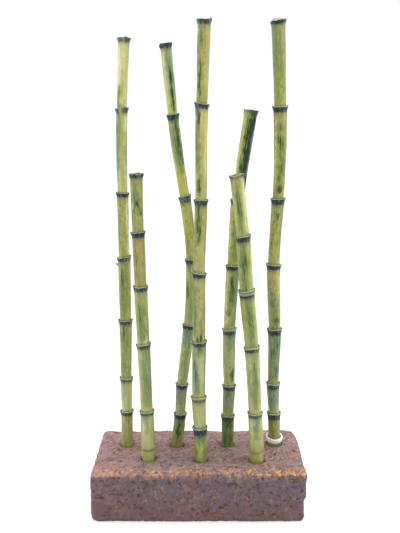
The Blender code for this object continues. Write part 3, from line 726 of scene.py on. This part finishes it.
def addNib(points, faces, look, shape):
    # a tiny hooked bud on the cane's side, rooted inside the wall
    height, turn, length = look["nib"]
    height += shape.foot
    shift, swell = [eased(shape, look[setting], np.array([height]))[0] for setting in ("shifts", "swells")]
    up, outward = Vector((0, 0, 1)), Vector((math.sin(math.radians(turn)), -math.cos(math.radians(turn)), 0))
    root = Vector(shape.centre([height])[0]) + outward * (shape.girthAt(height) + swell - 0.8)
    root.x += shift
    sideways = up.cross(outward)
    sides = 10
    rows = [(0.0, 1.6), (0.25, 1.4), (0.5, 1.15), (0.75, 0.9), (0.92, 0.65), (1.0, 0.35)]     # share, thickness
    faces += tubeFaces(len(rows), sides, len(points))
    for share, thick in rows:
        middle = root + outward * (0.8 + length * share) + up * 1.8 * share * share
        for number in range(sides):
            angle = number / sides * 2 * math.pi
            points.append(tuple((middle + (sideways * math.cos(angle) + up * math.sin(angle)) * thick) * mm))


glazeLook = {
    "cream": (0.62, 0.605, 0.275),
    "yellowGreen": (0.43, 0.435, 0.13),
    "green": (0.225, 0.30, 0.10),
    "olive": (0.25, 0.225, 0.062),
    "rust": (0.33, 0.19, 0.06),
    "tan": (0.47, 0.385, 0.16),
    # pale glaze, also laid as painted highlight lines near a cane's edges
    "paleAndHighlight": (0.70, 0.72, 0.40),
    "lime": (0.42, 0.48, 0.07),
    "leaf": (0.108, 0.200, 0.055),
    "teal": (0.125, 0.225, 0.178),
    "deep": (0.019, 0.060, 0.023),
    "night": (0.009, 0.030, 0.013),
    # blue-grey glaze, also laid as painted sheen along a cane's very edges
    "mistAndSheen": (0.150, 0.215, 0.200),
    "bandInk": (0.010, 0.019, 0.028),
    "bandTeal": (0.070, 0.130, 0.125),
    # a painted highlight along each lip's crest
    "lip": (0.72, 0.78, 0.66),
    "ring": (0.21, 0.26, 0.145),
    # painted side shade, blue-grey, for the rings and lips at a cane's sides
    "paintedSideShade": (0.16, 0.225, 0.205),
    "milk": (0.40, 0.46, 0.30),
    "sleeveShade": (0.09, 0.09, 0.02),
    "domeCream": (0.66, 0.64, 0.53),
    "strokes": {               # for each ink: where a stroke begins to show, where it is full, and its strength
        "tan": (0.05, 0.8, 0.6),
        "paleAndHighlight": (0.1, 0.8, 0.6),
        "lime": (0.05, 0.8, 0.6),
        "leaf": (0.06, 0.8, 0.75),
        "teal": (0.08, 0.8, 0.66),
        "deep": (0.20, 1.1, 0.96),
        "night": (0.20, 1.1, 0.96),
        "mistAndSheen": (0.10, 0.8, 0.80),
    },
    "roughness": 0.40,
    "relief": (0.35, 0.0006),  # the bump's strength, and its depth in metres
    "shine": 0.14,             # the shader's specular level
    "milkTop": 290,            # mm over the block, where the milky lower glaze begins
    "milkFull": 70,            # and where it is full
}


def caneGlaze(name, look, shape):
    glaze = Graph(name + "Glaze", glazeLook, "yellowGreen")
    place = glaze.attribute("roundCane", 1)
    under, over, cream, green, olive, bandHere = [glaze.attribute(field) for field in (
        "underLip", "overJoint", "cream", "green", "olive", "band")]
    wash = glaze.noise(place, (0.16, 0.16, 0.020), 4.0, 0.6)
    patch = glaze.noise(place, (0.33, 0.33, 0.045), 5.0, 0.6)
    dapple = glaze.noise(place, (0.42, 0.42, 0.10), 3.0, 0.6)
    grain = glaze.noise(place, (0.50, 0.50, 0.011), 3.0, 0.55)
    tanGrain = glaze.noise(glaze.stretch(place, (0.37, 0.37, 0.016)), 1.3, 3.0, 0.55)
    paleGrain = glaze.noise(glaze.stretch(place, (0.80, 0.80, 0.012)), 1.4, 2.0, 0.5)
    streak = glaze.noise(place, (0.85, 0.85, 0.042), 4.0, 0.65)
    fine = glaze.noise(place, (2.2, 2.2, 0.25), 3.0, 0.6)
    freckle = glaze.noise(place, (0.60, 0.60, 0.26), 3.0, 0.6)
    speck = glaze.noise(place, 0.6, 4.0, 0.7)

    # the ground: cream, green and olive washes, with tan, pale and milky grain
    mottle = ((wash - 0.5) * 1.5 + (grain - 0.5) + (dapple - 0.5) * 1.3 + (streak - 0.5) * 0.7
              + (freckle - 0.5) * 1.3)
    greenness = green + (patch - 0.5) * 2.2 - (grain - 0.5) + (dapple - 0.5) + (freckle - 0.5) * 1.6
    oliveness = glaze.clamp(olive - mottle * 0.8 + (speck - 0.5) * 1.8)
    glaze.coat("cream", glaze.clamp(cream + mottle))
    glaze.coat("green", glaze.clamp(greenness) * 0.75)
    glaze.coat("olive", oliveness * 0.8)
    glaze.coat("tan", glaze.step(tanGrain + (dapple - 0.5) * 0.5, 0.46, 0.68) * 0.45)
    glaze.coat("paleAndHighlight", glaze.step(paleGrain + (wash - 0.5) * 0.6, 0.60, 0.78) * 0.3)
    milkTop, milkFull = [shape.foot + glazeLook[level] for level in ("milkTop", "milkFull")]
    low = glaze.step(glaze.part(place, 2), milkTop, milkFull) * (1 - oliveness)
    glaze.coat("milk", low * glaze.step(wash, 0.3, 0.6) * 0.5)

    # the brush strokes, then freckles, blots, rust, dots, and painted shade where a cane sits in its lip or in the
    # block
    bristle = 1 + (dapple - 0.5) * 1.5 + (streak - 0.5) * 3.4 + (fine - 0.5) * 1.2
    for ink, (begins, full, strength) in glazeLook["strokes"].items():
        glaze.coat(ink, glaze.step(glaze.attribute(ink + "Ink") * bristle, begins, full) * strength)
    spotty = glaze.clamp(olive + green - 0.1) * look["dapples"]
    glaze.coat("leaf", glaze.step(freckle + green * 0.05, 0.51, 0.66) * spotty * 0.7)
    glaze.coat("deep", glaze.step(freckle + (dapple - 0.5) * 0.4, 0.57, 0.72) * spotty * 0.75)
    glaze.coat("rust", glaze.step(speck + olive * 0.12, 0.66, 0.76) * 0.6)
    glaze.coat("deep", glaze.step(glaze.noise(place, 0.9, 2.0, 0.6), 0.70, 0.76) * 0.5)
    # painted shade: olive darkening at the foot of each internode, where it rises out of its lip's recess or the
    # block
    glaze.coat("olive", glaze.step(speck * 5 - over, -1.0, 3.0) * 0.6)

    # each joint: its ring, with painted side shade, its dark band and the painted shadow under that, a crease,
    # and the pale lip, a painted highlight, also with painted side shade
    depth = under - glaze.attribute("bandStart")
    tail = under - glaze.attribute("bandEnd") + (streak - 0.5) * 2.0 + (dapple - 0.5) * 2.6 + (fine - 0.5) * 1.2
    edge = glaze.step(depth, -0.2, 0.5) * bandHere
    ring = glaze.step(depth, 0.2, -0.4) * glaze.step(under, -0.3, 0.3)
    # painted side shade: the rings and lips turn darker and bluer towards the cane's sides
    paintedSideShade = glaze.step(glaze.attribute("paintedSideShade") + (dapple - 0.5) * 0.5, 0.62, 0.95)
    glaze.coat(glaze.blend(paintedSideShade, glazeLook["ring"], glazeLook["paintedSideShade"]), ring * (0.65 + 0.25 * paintedSideShade))
    glaze.coat("bandTeal", glaze.step(tail, 5.5, 0.0) * edge * 0.42)
    thin = glaze.step(dapple + (streak - 0.5) * 0.5, 0.50, 0.66)
    glaze.coat(glaze.blend(thin, glazeLook["bandInk"], glazeLook["bandTeal"]),
               glaze.clamp(glaze.step(tail, 1.6, -1.3) * edge) * 0.96)
    crease = glaze.math("ABSOLUTE", under - glaze.attribute("creaseAt"))
    glaze.coat("bandTeal", glaze.step(crease, 0.8, 0.1) * 0.8)
    # a painted highlight along each lip's crest, broken up by the patch noise
    lip = glaze.step(under, 0.35, 0.0) * glaze.step(under, -1.4, -0.6) * glaze.step(patch, 0.35, 0.55)
    glaze.coat(glaze.blend(paintedSideShade * 0.6, glazeLook["lip"], glazeLook["paintedSideShade"]), lip * 0.75)
    # a painted shade line in the groove at the sleeve's edge
    glaze.coat("sleeveShade", glaze.attribute("sleeveLine"))
    glaze.coat("domeCream", glaze.step(under, -7.0, -8.5))
    glaze.shader.inputs["Specular IOR Level"].default_value = glazeLook["shine"]
    height = streak * 0.5 + fine * 0.4 + dapple * 0.4
    return glaze.finish(glazeLook["roughness"] + (fine - 0.5) * 0.25, height, glazeLook["relief"])


def addCane(name, look):
    shape = CaneFrame(name)
    for setting in ("shifts", "swells", "tilts", "lifts", "bands", "cream", "green", "olive"):
        if len(shape.joints) != len(look[setting]):
            raise ValueError(name + ": " + setting + " doesn't fit its joints: " + str(shape.joints))
    mesh = caneMesh(name + "_glazed", look, shape)
    mesh.materials.append(caneGlaze(name, look, shape))
    showPiece(addObject(name + "_glazed", mesh), name)
    return shape


shapes = {name: addCane(name, look) for name, look in canes.items()}
print("canes glazed")


clayLook = {
    "frontCorner": 6.0,        # mm, radius of the front corners seen from above
    "backCorner": 11.0,
    "topEdge": 2.6,
    "bottomEdge": 0.5,
    "grain": 1.0,              # mm, the mesh's own spacing
    "gapes": {                 # where a hole gapes: turns, and mm
        "short_left_cane": [(-78, 1.5), (80, 1.0)],
        "bowed_cane": [(70, 0.6)],
        "tall_middle_cane": [(80, 0.9)],
        "short_right_cane": [(80, 1.7)],
    },
    "settled": {               # mm, how much lower the clay lies round a foot
        "tall_left_cane": 1.4, "short_left_cane": -2.6, "bowed_cane": 4.2, "tall_middle_cane": 1.3,
        "leaning_cane": 0.8, "short_right_cane": 2.3, "tall_right_cane": -1.2,
    },
    "backRise": 1.7,           # mm, how much the top climbs towards the back
    "swell": 0.9,              # mm, all over, as the pits take clay away
    "endSwell": 1.3,           # mm more at the two ends
    "backPinch": 2.6,          # mm, how much the ends draw in towards the back
    "skirt": 2.3,              # mm more at the foot of the front
    "mostSwell": 3.1,          # mm, the clay stands out by no more than this
    "bite": 2.4,               # mm, how far the lower right end is cut back
    "warp": 1.1,               # mm, slow unevenness
    "lumps": 0.6,
    "rough": 0.36,
    "pull": 3.5,               # mm, how far slow swirls drag the pits and tool marks about
    "holeEdge": 1.6,           # mm, the clay this near a foot keeps its shape
    "settleReach": 13.0,       # mm
    "chipDepth": 0.6,
    "pitDepth": 1.5,
    "gouges": 110,
    "scars": [                 # mm, longer dents in the front: across, height, length, half width and depth
        (-114, 27, 5, 1.2, 1.5), (-106, 28, 4, 1.1, 1.3), (-90, 27, 6, 1.3, 1.6), (20, 34, 6, 1.1, 1.3),
        (104, 46, 5, 1.2, 1.5), (-40, 45, 5, 1.0, 1.2), (36, 43, 6, 1.2, 1.3),
    ],
    "tuck": 3.2,               # mm, how much the lowest edge draws in at each end
    "combAngle": -0.85,        # radians, the way the top was combed
    "seed": 6,
    "roughness": 0.72,
    "relief": (0.6, 0.0009),
    "mauve": (0.213, 0.143, 0.157),
    "brown": (0.136, 0.082, 0.077),
    "pinkAndTopLight": (0.355, 0.243, 0.245),
    "slate": (0.120, 0.103, 0.137),
    "red": (0.170, 0.079, 0.070),
    "rose": (0.49, 0.27, 0.255),
    "rust": (0.45, 0.16, 0.06),
    "gold": (0.66, 0.33, 0.05),
    "sand": (0.68, 0.46, 0.27),
    "dark": (0.040, 0.024, 0.022),
}


def roundedBlock():
    look = clayLook
    low, high = blockLow / mm, blockHigh / mm
    bm = bmesh.new()
    bmesh.ops.create_cube(bm, size=1.0)
    for vert in bm.verts:
        for axis in range(3):
            vert.co[axis] = low[axis] if vert.co[axis] < 0 else high[axis]

    def soften(edges, radius, segments):
        bmesh.ops.bevel(bm, geom=edges, offset=radius, offset_type="OFFSET", segments=segments,
                        profile=0.5, affect="EDGES")

    for side, radius in ((-1, look["frontCorner"]), (1, look["backCorner"])):
        soften([edge for edge in bm.edges if min(side * vert.co.y for vert in edge.verts) > high.y - 0.001
                and abs(edge.verts[0].co.z - edge.verts[1].co.z) > 1], radius, 6)
    for level, radius in ((high.z, look["topEdge"]), (low.z, look["bottomEdge"])):
        soften([edge for edge in bm.edges if all(abs(vert.co.z - level) < 0.001 for vert in edge.verts)],
               radius, 4)
    mesh = bpy.data.meshes.new("clay_block")
    bm.to_mesh(mesh)
    bm.free()
    return mesh


def drillHoles(block):
    # one hole for each foot, pressed tight but gaping here and there
    sides = 32
    points, faces = [], []
    for name, shape in shapes.items():
        middle, radius = shape.cut(shape.foot - 2)
        faces += tubeFaces(2, sides, len(points))
        for height in (shape.bottom - 0.6, shape.foot + 12):
            for number in range(sides):
                angle = number / sides * 2 * math.pi
                reach = radius
                for turn, gape in clayLook["gapes"].get(name, []):
                    reach += gape * max(0.0, math.cos(angle - math.radians(turn - 90))) ** 4
                points.append((middle[0] + reach * math.cos(angle), middle[1] + reach * math.sin(angle), height))
    drill = addObject("drill", newMesh("drill", points, faces))
    cut = block.modifiers.new("holes", "BOOLEAN")
    cut.operation, cut.solver, cut.object = "DIFFERENCE", "EXACT", drill
    grid = block.modifiers.new("grain", "REMESH")
    grid.mode, grid.voxel_size = "VOXEL", clayLook["grain"]
    mesh = bpy.data.meshes.new_from_object(block.evaluated_get(bpy.context.evaluated_depsgraph_get()))
    block.modifiers.clear()
    block.data = mesh
    bpy.data.objects.remove(drill, do_unlink=True)


def gougeLines(rng, low, high):
    # short tool marks, each a start, an end, a half width and a depth
    lines = []
    for _ in range(clayLook["gouges"]):
        length, turn = rng.uniform(2, 10), rng.uniform(0, math.pi)
        x = rng.uniform(low.x + 4, high.x - 4)
        if rng.random() < 0.5:
            if x > 40:                 # combed one way on the right of the top
                turn = rng.uniform(1.9, 2.6)
            start = Vector((x, rng.uniform(low.y + 2, high.y - 2), high.z))
            step = Vector((math.cos(turn), math.sin(turn), 0)) * length
        else:
            turn = rng.uniform(-0.6, 0.6)
            start = Vector((x, rng.choice((low.y, low.y, high.y)), rng.uniform(low.z + 5, high.z - 1)))
            step = Vector((math.cos(turn), 0, math.sin(turn))) * length
        lines.append((start, start + step, rng.uniform(0.7, 1.5), rng.uniform(0.5, 1.4)))
    for across, height, length, halfWidth, depth in clayLook["scars"]:
        start = Vector((across, low.y, low.z + height))
        lines.append((start, start + Vector((length, 0, 0.15 * length)), halfWidth, depth))
    return lines


def ramp(values, low, high):
    share = np.clip((values - low) / (high - low), 0, 1)
    return share * share * (3 - 2 * share)


def roughenBlock(block):
    look = clayLook
    low, high = blockLow / mm, blockHigh / mm
    rng = random.Random(look["seed"])
    noise.seed_set(look["seed"])      # else the vector noise below takes its seed from the clock
    mesh = block.data
    count = len(mesh.vertices)
    points, normals = np.empty((2, count * 3))
    mesh.vertices.foreach_get("co", points)
    mesh.vertices.foreach_get("normal", normals)
    points, normals = points.reshape(-1, 3), normals.reshape(-1, 3)
    inHole = np.zeros(count, bool)
    for shape in shapes.values():
        middle = shape.cut(shape.foot - 2)[0]
        away = np.linalg.norm(points[:, :2] - middle, axis=1)
        inHole |= (away < shape.girthAt(shape.foot - 2) + look["holeEdge"]) & (points[:, 2] > 5)
    warped = np.zeros((count, 3))
    lift, crumbs, chips, chance = np.zeros((4, count))
    for number, point in enumerate(points):
        spot = Vector(point)
        pull = noise.noise_vector(spot * 0.11) * look["pull"]
        bent = spot + pull
        warped[number] = spot + pull * 0.6
        slow = noise.noise(spot * 0.016 + Vector((3, 1, 7)))
        lump = noise.fractal(spot * 0.08, 0.8, 2.1, 3)
        rough = noise.fractal(spot * 0.30, 0.6, 2.2, 3)
        lift[number] = look["swell"] + look["warp"] * slow * 2 + look["lumps"] * lump + look["rough"] * rough
        crumbs[number] = noise.fractal(Vector((bent.x * 0.19, bent.y * 0.24, bent.z * 0.30)), 0.75, 2.1, 3)
        chips[number] = noise.fractal(Vector((bent.x * 0.085, bent.y * 0.11, bent.z * 0.13)) + Vector((9, 2, 5)),
                                      0.7, 2.1, 3)
        chance[number] = noise.noise(spot * 0.035 + Vector((20, 0, 0)))
    # pits crowd along the front's upper edge, across its left and over the right of the top
    x, y, z = points.T
    crowd = (0.30 * ramp(z, high.z - 26, high.z - 6) * ramp(-y, -low.y - 12, -low.y)
             + ramp(z, high.z - 3, high.z - 1) * (0.25 * ramp(x, 20, 90) - 0.35) + 0.5 * chance)
    deepest = np.quantile(crumbs, 0.985)
    start = np.quantile(crumbs, 0.80) - crowd * (deepest - np.quantile(crumbs, 0.5)) * 0.35
    pits = ramp(crumbs, start, deepest)
    chipped = ramp(chips, np.quantile(chips, 0.62), np.quantile(chips, 0.74))
    onEnd = ramp(np.abs(normals[:, 0]), 0.5, 0.9)
    lift -= (look["pitDepth"] * pits + look["chipDepth"] * chipped) * (1 - 0.6 * onEnd)
    for begin, end, halfWidth, depth in gougeLines(rng, low, high):
        run = np.array(end - begin)
        share = np.clip((warped - np.array(begin)) @ run / (run @ run), 0, 1)
        away = np.linalg.norm(warped - (np.array(begin) + share[:, None] * run), axis=1)
        taper = halfWidth * (0.45 + 0.55 * np.sin(math.pi * share))
        groove = np.clip(1 - (away / taper) ** 2, 0, 1)
        pits = np.maximum(pits, groove * 0.8)
        lift -= groove * depth
    lift += onEnd * (look["endSwell"] - look["backPinch"] * ramp(y, low.y + 5, high.y - 5))
    lift -= onEnd * look["bite"] * (x > 0) * ramp(-z, -27, -21)
    lift = np.minimum(np.where(normals[:, 2] < -0.5, np.maximum(lift, 0), lift), look["mostSwell"]) * ~inHole
    points += normals * lift[:, None]
    # x, y and z follow the points: the skirt, the clay round each foot, the rise towards the back, the tuck
    y[:] = np.maximum(y - look["skirt"] * ramp(-z, -32, -4) * ramp(-y, -low.y - 9, -low.y - 1),
                      low.y - look["mostSwell"])
    for name, shape in shapes.items():
        away = np.linalg.norm(points[:, :2] - shape.cut(shape.foot - 2)[0], axis=1)
        nearFoot = np.exp(-(away / look["settleReach"]) ** 2)
        z -= look["settled"][name] * nearFoot * ramp(z, high.z - 9, high.z - 2)
    z += look["backRise"] * ramp(y, low.y + 35, high.y - 20) * ramp(z, high.z - 20, high.z - 4)
    x *= 1 - look["tuck"] / high.x * np.clip(1 - z / 5, 0, 1) ** 2.2
    z[:] = np.maximum(z, 0.0)
    mesh.vertices.foreach_set("co", (points * mm).ravel())
    for name, values in (("pit", pits), ("chipped", chipped), ("raised", ramp(lift, -0.2, 1.2)),
                         ("hole", inHole & (z < high.z - 1.5 - 0.6 * look["pitDepth"]))):
        setFloat(mesh, name, values)
    mesh.update()
    mesh.shade_smooth()


def clayMaterial():
    clay = Graph("firedClay", clayLook, "brown")
    (left, front, bottom), (right, _, top) = blockLow / mm, blockHigh / mm
    place = clay.placeInMm()
    facing = clay.part(clay.node("NewGeometry", {}, {}, 1), 2)
    across, depth, height = [clay.part(place, axis) for axis in range(3)]
    pit, hole, chipped, raised = [clay.attribute(name) for name in ("pit", "hole", "chipped", "raised")]
    broad = clay.noise(place, 0.028, 3.0, 0.5)
    patch = clay.noise(place, 0.085, 4.0, 0.65)
    mottle = clay.noise(place, 0.17, 4.0, 0.7)
    grit = clay.noise(place, 0.40, 4.0, 0.75)
    streaky = clay.noise(place, (0.10, 0.16, 0.30), 4.0, 0.7)
    dashes = clay.noise(place, (0.20, 0.09, 0.075), 3.0, 0.6)
    upright = clay.noise(place, (0.34, 0.34, 0.09), 3.0, 0.6)
    slanted = clay.node("VectorRotate", {"rotation_type": "Z_AXIS"},
                        {"Vector": place, "Angle": clayLook["combAngle"]})
    combed = clay.noise(slanted, (0.055, 0.30, 0.30), 4.0, 0.6)
    dragged = clay.stretch(place, (1.0, 0.55, 0.6))
    fleck = clay.noise(dragged, 0.20, 3.0, 0.55)
    spark = clay.noise(dragged, 0.24, 3.0, 0.6)
    chalk = clay.noise(dragged, 0.30, 2.0, 0.5)
    onTop = clay.step(facing, 0.45, 0.85)
    sides = 1 - onTop

    # the body of the clay: pinker and lighter on top, partly as painted top light, slate and red on the sides,
    # combed and gritty
    clay.coat("mauve", clay.step(mottle, 0.38, 0.58))
    # lighter pink on top: partly the clay's colour, partly painted light from above
    clay.coat("pinkAndTopLight", onTop * clay.step(grit * 0.5 + mottle * 0.5, 0.36, 0.56) * 0.8)
    atEnds = clay.step(across * across, 40.0 ** 2, 105.0 ** 2)
    cool = clay.step(broad + patch * 0.5 + streaky * 0.3 + atEnds * 0.12, 0.80, 1.0)
    lowDown = clay.step(height, top * 0.7, bottom + 4.0)
    clay.coat("slate", sides * cool * (1 - lowDown * 0.7) * 0.85)
    clay.coat("red", lowDown * sides * clay.step(patch + streaky * 0.4, 0.55, 0.8) * 0.75)
    clay.coat("brown", chipped * (0.25 + 0.3 * sides))
    clay.coat("brown", clay.step(streaky, 0.52, 0.70) * sides * 0.6)
    clay.coat("brown", clay.step(combed, 0.50, 0.66) * onTop * 0.45)
    clay.coat("rose", clay.step(combed, 0.46, 0.34) * onTop * 0.35)
    clay.coat("dark", clay.step(grit, 0.56, 0.74) * (0.4 - 0.2 * onTop))

    # the rubbed front edge: rose on the left, sand and gold dashes along it
    rim = clay.step(depth, front + 34.0, front + 2.0) * clay.step(height, top - 4.0, top - 1.2)
    clay.coat("rose", clay.step(across, left + 70.0, left + 6.0) * rim * clay.step(mottle, 0.3, 0.5) * 0.75)
    clay.coat("rose", clay.step(across, left + 85.0, left + 10.0) * onTop * clay.step(patch, 0.35, 0.6) * 0.3)
    clay.coat("sand", raised * rim * clay.step(mottle, 0.42, 0.6) * 0.2)
    edge = clay.step(depth, front + 15.0, front + 3.0) * clay.step(height, top - 9.0, top - 3.0)
    dashed = edge * clay.step(dashes + (patch - 0.5) * 0.5, 0.55, 0.63)
    dashInk = clay.blend(clay.step(grit, 0.42, 0.58), clayLook["sand"], clayLook["gold"])
    clay.coat(dashInk, dashed * (0.2 + 0.25 * onTop))

    # flecks of rust, gold and sand, then the pits and the holes, darkened with painted shade
    clay.coat("rust", sides * clay.step(upright + (broad - 0.5) * 0.3, 0.62, 0.72) * 0.4)
    busy = (rim * clay.step(patch, 0.35, 0.6) * 0.075 + edge * 0.045 + onTop * 0.015
            + clay.step(across, right - 90.0, right - 20.0) * onTop * 0.04 + (broad - 0.5) * 0.12)
    rusty = clay.step(fleck + busy, 0.635, 0.70) * clay.step(grit, 0.36, 0.52)
    clay.coat("rust", rusty * (0.38 + 0.47 * onTop))
    clay.coat("gold", clay.step(spark + busy, 0.665, 0.72) * (0.38 + 0.5 * onTop))
    clay.coat("sand", clay.step(chalk + busy * 0.8, 0.71, 0.76) * (0.35 + 0.5 * onTop))
    pitRim = clay.step(pit, 0.01, 0.15) * clay.step(pit, 0.65, 0.3)
    clay.coat("gold", pitRim * clay.step(spark, 0.52, 0.64) * (0.3 + 0.4 * onTop))
    # painted shade in the pits and tool marks
    clay.coat("dark", clay.step(pit, 0.2, 0.75) * (0.4 + 0.12 * onTop))
    # painted shade on the walls of the holes, seen where a hole gapes round a foot
    clay.coat("dark", hole * 0.9)
    return clay.finish(clayLook["roughness"] + grit * 0.2, grit * 0.8 + mottle * 0.6, clayLook["relief"])


def addBlock():
    block = addObject("clay_block", roundedBlock())
    drillHoles(block)
    roughenBlock(block)
    block.data.materials.clear()
    block.data.materials.append(clayMaterial())
    showPiece(block, "base_block")


addBlock()
print("clay block roughened")


collarLook = {
    "sides": 56,
    "profileSteps": 20,
    "white": (0.94, 0.95, 0.95),
    # painted shade, for the collar's lower part
    "shade": (0.76, 0.81, 0.80),
    "gap": 0.35,               # mm, between the collar and the cane
    "flare": 0.35,             # mm, the rim opens upwards by this
    "wave": 0.18,              # mm
    "fullness": (0.75, 0.6),   # across and up; a round section is 1, and less is squarer
    "roughness": 0.22,
    "relief": (0.2, 0.0004),
    "tip": 1.4,                # mm, how much the back stands up over the front, each way
}


def addCollar():
    look = collarLook
    low, high = [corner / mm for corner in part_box("foot_collar")]
    shape = shapes["tall_right_cane"]
    middleHeight = (low.z + high.z) / 2
    inner = shape.girthAt(middleHeight) + look["gap"]
    halfWall, halfTall = ((high.x - low.x) / 2 - inner) / 2, (high.z - low.z) / 2
    centre = shape.centre([middleHeight])[0]
    points = []
    for number in range(look["profileSteps"]):
        turn = number / look["profileSteps"] * 2 * math.pi
        outward, upward = [math.copysign(abs(way) ** power, way)
                           for way, power in zip((math.cos(turn), math.sin(turn)), look["fullness"])]
        for spot in range(look["sides"]):
            angle = spot / look["sides"] * 2 * math.pi
            right, back = math.cos(angle), math.sin(angle)
            wave = look["wave"] * noise.noise(Vector((right * 1.5, back * 1.5, number * 0.1)))
            reach = inner + halfWall * (1 + outward) + (look["flare"] * upward + wave) * (outward > 0)
            points.append(Vector((centre[0] + reach * right, centre[1] + reach * back,
                                  middleHeight + (halfTall + wave) * upward + look["tip"] * back)) * mm)
    mesh = newMesh("white_collar", points, tubeFaces(look["profileSteps"], look["sides"], closed=True))
    glaze = Graph("whiteGlaze", look, "white")
    place = glaze.placeInMm()
    mottle = glaze.noise(place, 0.5, 3.0, 0.5)
    # painted shade: darker towards the collar's bottom, broken by mottle
    glaze.coat("shade", glaze.step(glaze.part(place, 2) + mottle * 2, high.z - 1.0, low.z + 0.5) * 0.6)
    mesh.materials.append(glaze.finish(look["roughness"] + mottle * 0.12, mottle, look["relief"]))
    showPiece(addObject("white_collar", mesh), "foot_collar")


addCollar()
print("collar made")


studio = {
    "floorSize": 30.0,
    "floorShade": (0.95, 0.95, 0.95),
    "floorRoughness": 0.9,
    "floorGlow": 0.22,         # the paper is lit a little from below
    "skyStrength": 0.50,
    "backdropStrength": 1.0,
    "sunStrength": 1.60,
    "sunSoftness": 50.0,       # degrees across
    "sunLean": (-8.0, 4.0),    # degrees off upright: towards the front, towards the right
    "aim": (0, 0, 0.25),       # where the lamps look
    "lamps": {
        "leftSoftbox": {"at": (-1.0, 0.25, 0.55), "size": 0.8, "power": 5.5},
        "rightSoftbox": {"at": (1.0, 0.1, 0.6), "size": 0.8, "power": 7.0},
        "frontFill": {"at": (-0.4, -1.6, 0.9), "size": 1.0, "power": 3.5},
    },
}


def addLight(name, kind, energy):
    light = bpy.data.lights.new(name, kind)
    light.energy = energy
    return addObject(name, light)


def addStudio():
    half = studio["floorSize"] / 2
    corners = [(-half, -half, 0), (half, -half, 0), (half, half, 0), (-half, half, 0)]
    mesh = newMesh("floor", corners, [(0, 1, 2, 3)])
    paper = Graph("paper")
    for name, value in (("Base Color", studio["floorShade"]), ("Roughness", studio["floorRoughness"]),
                        ("Emission Color", (1, 1, 1)), ("Emission Strength", studio["floorGlow"])):
        paper.put(paper.shader.inputs[name], value)
    mesh.materials.append(paper.material)
    addObject("floor", mesh)
    for name, lamp in studio["lamps"].items():
        holder = addLight(name, "AREA", lamp["power"])
        holder.data.size = lamp["size"]
        holder.location = lamp["at"]
        holder.rotation_euler = (Vector(studio["aim"]) - holder.location).to_track_quat("-Z", "Y").to_euler()
    sun = addLight("softSun", "SUN", studio["sunStrength"])
    sun.data.angle = math.radians(studio["sunSoftness"])
    sun.rotation_euler = [math.radians(lean) for lean in studio["sunLean"]] + [0]
    world = bpy.data.worlds.new("studioSky")
    world.use_nodes = True
    tree = world.node_tree
    sky, backdrop = tree.nodes["Background"], tree.nodes.new("ShaderNodeBackground")
    for shade, strength in ((sky, studio["skyStrength"]), (backdrop, studio["backdropStrength"])):
        shade.inputs["Color"].default_value = (1, 1, 1, 1)
        shade.inputs["Strength"].default_value = strength
    chooser, seen = tree.nodes.new("ShaderNodeMixShader"), tree.nodes.new("ShaderNodeLightPath")
    for start, end in ((seen.outputs["Is Camera Ray"], chooser.inputs[0]), (sky.outputs[0], chooser.inputs[1]),
                       (backdrop.outputs[0], chooser.inputs[2]),
                       (chooser.outputs[0], tree.nodes["World Output"].inputs["Surface"])):
        tree.links.new(start, end)
    bpy.context.scene.world = world
    bpy.context.scene.view_settings.view_transform = "Standard"


addStudio()
print("studio lit")
